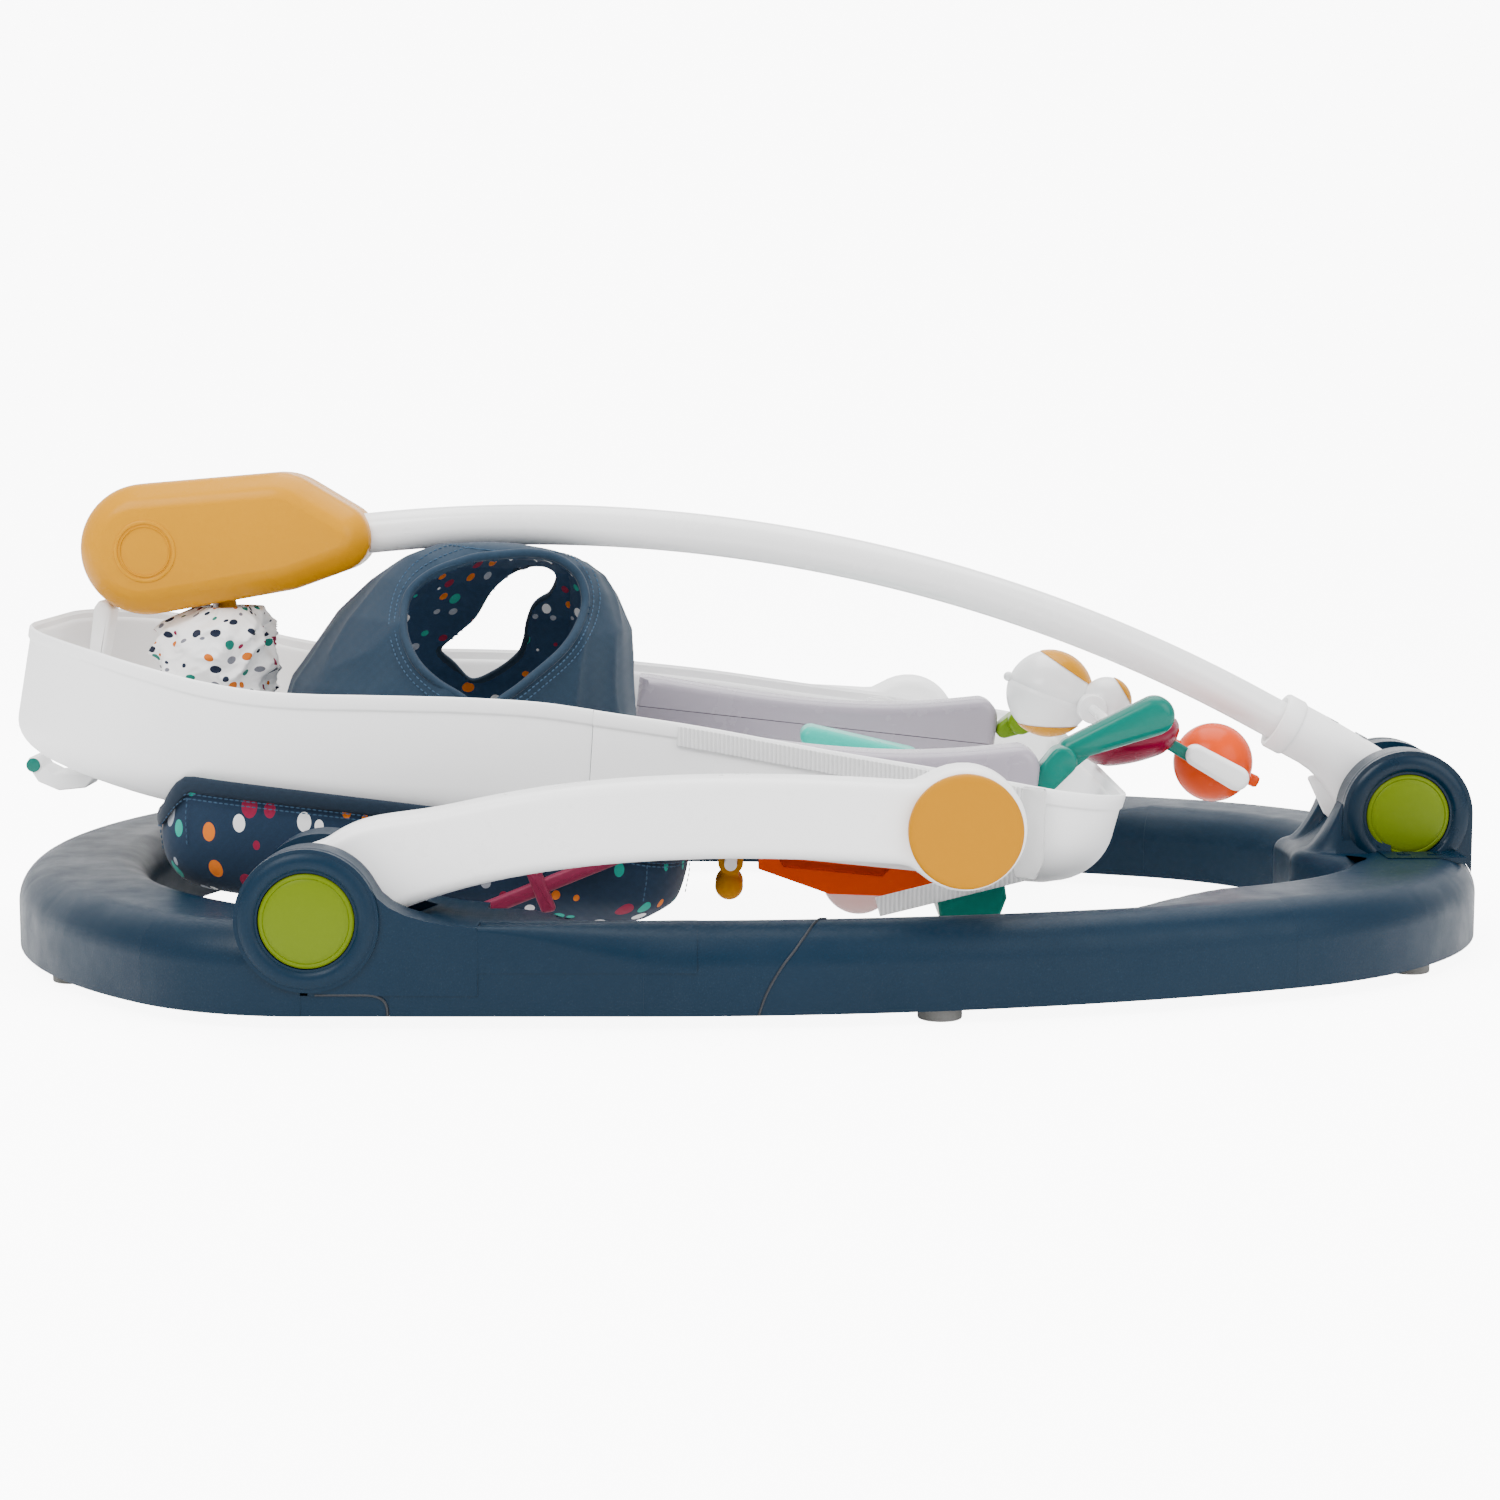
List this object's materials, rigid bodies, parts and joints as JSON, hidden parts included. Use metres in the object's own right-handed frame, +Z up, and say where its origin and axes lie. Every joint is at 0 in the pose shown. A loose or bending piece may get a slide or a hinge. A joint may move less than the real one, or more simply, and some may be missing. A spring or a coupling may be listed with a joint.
{
  "type": "folding baby jumper",
  "caption": "Folding baby jumper shown folded flat: egg-shaped base ring, curved suspension arm with spring housing, hinged front legs, toy tray and fabric seat.",
  "frame": {"origin": "on the floor under the middle of the base ring's box", "axes": "+X along the base towards the rear arm hinge, +Y to the far side, +Z up"},
  "size_m": [0.969, 0.657, 0.306],
  "materials": {
    "navy_plastic": "fine satin grain",
    "lime_plastic": "satin",
    "grey_rubber": "matte",
    "steel": "zinc plated",
    "white_plastic": "semi-gloss",
    "amber_plastic": "satin",
    "white_tube": "powder coat",
    "yellow_plastic": "satin",
    "webbing": "woven",
    "dotted_fabric": "printed cotton",
    "dark_plastic": "satin",
    "navy_fabric": "quilted polyester",
    "magenta_fabric": "piped",
    "grey_plastic": "satin",
    "teal_plastic": "gloss",
    "magenta_plastic": "gloss",
    "orange_plastic": "gloss",
    "mint_plastic": "gloss",
    "clear_plastic": "clear"
  },
  "bodies": {
    "base": {"base_front": "navy_plastic", "base_side_near": "navy_plastic", "base_side_far": "navy_plastic", "base_rear": "navy_plastic", "rear_bracket": "navy_plastic", "rear_pin": "steel", "hub_pins": "steel", "rubber_feet": "grey_rubber", "bracket_screws": "steel", "button_springs": "steel"},
    "front_button_near": {"front_button_near": "lime_plastic"},
    "front_button_far": {"front_button_far": "lime_plastic"},
    "rear_button_near": {"rear_button_near": "lime_plastic"},
    "rear_button_far": {"rear_button_far": "lime_plastic"},
    "arm": {"arm_socket": "white_plastic", "arm_tube": "white_tube", "socket_screws": "steel", "housing_near": "yellow_plastic", "housing_far": "yellow_plastic", "housing_screws": "steel", "jump_spring": "steel", "spring_anchor": "steel", "roller_axle": "steel", "suspension_strap": "webbing", "spring_sleeve": "dotted_fabric"},
    "roller": {"strap_roller": "white_plastic"},
    "legs": {"leg_near": "white_plastic", "leg_far": "white_plastic", "pivot_cap_near": "amber_plastic", "pivot_cap_far": "amber_plastic"},
    "tray": {"tray_rear_shell": "white_plastic", "tray_front_shell": "white_plastic", "tray_pins": "steel", "seat_ring": "dark_plastic", "seat_sling": "navy_fabric", "seat_collar": "navy_fabric", "collar_bar": "magenta_fabric", "rail_near_lower": "grey_plastic", "rail_near_upper": "grey_plastic", "rail_far_lower": "grey_plastic", "rail_far_upper": "grey_plastic", "rail_screws": "steel", "holder_teal": "teal_plastic", "holder_lime": "lime_plastic", "toy_rod": "white_plastic", "crank_bar": "mint_plastic", "console": "orange_plastic", "console_bracket": "teal_plastic", "rattle_dome": "clear_plastic", "bead_rod": "white_plastic", "storage_strap": "webbing", "strap_buckle": "clear_plastic", "rear_latch": "white_plastic"},
    "figure": {"toy_figure": "white_plastic", "figure_cap": "yellow_plastic"},
    "disc": {"magenta_disc": "magenta_plastic", "disc_link": "teal_plastic", "link_clip": "white_plastic"},
    "ball": {"spinner_ball": "orange_plastic"},
    "beads": {"drop_beads": "yellow_plastic"}
  },
  "joints": [
    {"name": "arm_fold", "type": "hinge", "parent": "base", "child": "arm", "pos_m": [0.436, 0, 0.083], "axis": [0, 1, 0], "range_deg": [0, 70]},
    {"name": "leg_fold", "type": "hinge", "parent": "base", "child": "legs", "pos_m": [-0.25, 0, 0.063], "axis": [0, 1, 0], "range_deg": [-45.5, 0]},
    {"name": "tray_pivot", "type": "hinge", "parent": "legs", "child": "tray", "pos_m": [0.12295, 0, 0.11078], "axis": [0, 1, 0], "range_deg": [0, 98]},
    {"name": "front_button_near_press", "type": "slide", "parent": "base", "child": "front_button_near", "axis": [0, 1, 0], "range_m": [0, 0.0045], "stiffness_N_per_m": 300, "springref_m": -0.006},
    {"name": "front_button_far_press", "type": "slide", "parent": "base", "child": "front_button_far", "axis": [0, -1, 0], "range_m": [0, 0.0045], "stiffness_N_per_m": 300, "springref_m": -0.006},
    {"name": "rear_button_near_press", "type": "slide", "parent": "base", "child": "rear_button_near", "axis": [0, 1, 0], "range_m": [0, 0.0045], "stiffness_N_per_m": 300, "springref_m": -0.006},
    {"name": "rear_button_far_press", "type": "slide", "parent": "base", "child": "rear_button_far", "axis": [0, -1, 0], "range_m": [0, 0.0045], "stiffness_N_per_m": 300, "springref_m": -0.006},
    {"name": "roller_spin", "type": "hinge", "parent": "arm", "child": "roller", "pos_m": [-0.345, 0, 0.24976], "axis": [0, 1, 0], "continuous": true},
    {"name": "figure_flip", "type": "hinge", "parent": "tray", "child": "figure", "pos_m": [0.23457, 0, 0.14674], "axis": [0, 1, 0], "range_deg": [0, 75]},
    {"name": "disc_swing", "type": "hinge", "parent": "tray", "child": "disc", "pos_m": [0.23457, 0, 0.14674], "axis": [0, 1, 0], "range_deg": [-15, 0]},
    {"name": "ball_spin", "type": "hinge", "parent": "disc", "child": "ball", "pos_m": [0.30593, -0.042, 0.11875], "axis": [0, 1, 0], "continuous": true},
    {"name": "bead_swing", "type": "hinge", "parent": "tray", "child": "beads", "pos_m": [-0.01225, 0, 0.0644], "axis": [0, 1, 0], "range_deg": [-12, 12]}
  ],
  "couplings": [
    {"joint": "leg_fold", "follows": "arm_fold", "ratio": -0.65},
    {"joint": "tray_pivot", "follows": "arm_fold", "ratio": 1.4}
  ]
}
